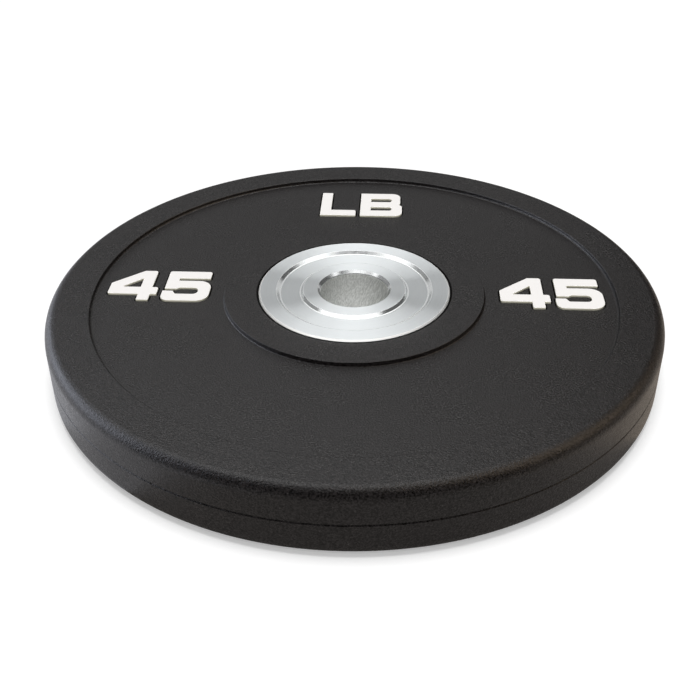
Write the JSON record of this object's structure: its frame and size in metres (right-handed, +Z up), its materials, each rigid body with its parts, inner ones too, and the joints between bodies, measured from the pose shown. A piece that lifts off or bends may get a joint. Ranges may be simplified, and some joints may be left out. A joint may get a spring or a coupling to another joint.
{
  "type": "bumper plate",
  "caption": "Round rubber-like bumper weight plate with a turned steel hub, a bar bore and raised white numerals on both faces.",
  "frame": {"origin": "centre of the rear hub face, which is the lowest face when the plate lies flat", "axes": "+Z up the plate's axis out of the front face; +X to the right of the numerals and +Y to their top"},
  "size_m": [0.45, 0.45, 0.0521],
  "materials": {
    "black_urethane": "satin black cast urethane with a fine mould grain",
    "white_urethane": "matte off-white cast urethane",
    "hub_steel": "lathe-turned stainless steel with fine circular tool marks",
    "sleeve_steel": "honed steel, dull and lightly scratched",
    "core_steel": "raw hot-rolled steel plate, sealed in the casting",
    "screw_steel": "black oxide alloy steel"
  },
  "bodies": {
    "root": {"urethane_body": "black_urethane", "core_plate": "core_steel", "hub_sleeve": "sleeve_steel", "front_hub_flange": "hub_steel", "rear_hub_flange": "hub_steel", "hub_screw_1": "screw_steel", "hub_screw_2": "screw_steel", "hub_screw_3": "screw_steel", "hub_screw_4": "screw_steel", "hub_screw_5": "screw_steel", "hub_screw_6": "screw_steel", "front_numeral_4_left": "white_urethane", "front_numeral_5_left": "white_urethane", "front_numeral_4_right": "white_urethane", "front_numeral_5_right": "white_urethane", "front_letter_l": "white_urethane", "front_letter_b": "white_urethane", "back_numeral_4_left": "white_urethane", "back_numeral_5_left": "white_urethane", "back_numeral_4_right": "white_urethane", "back_numeral_5_right": "white_urethane", "back_letter_l": "white_urethane", "back_letter_b": "white_urethane"}
  },
  "joints": []
}
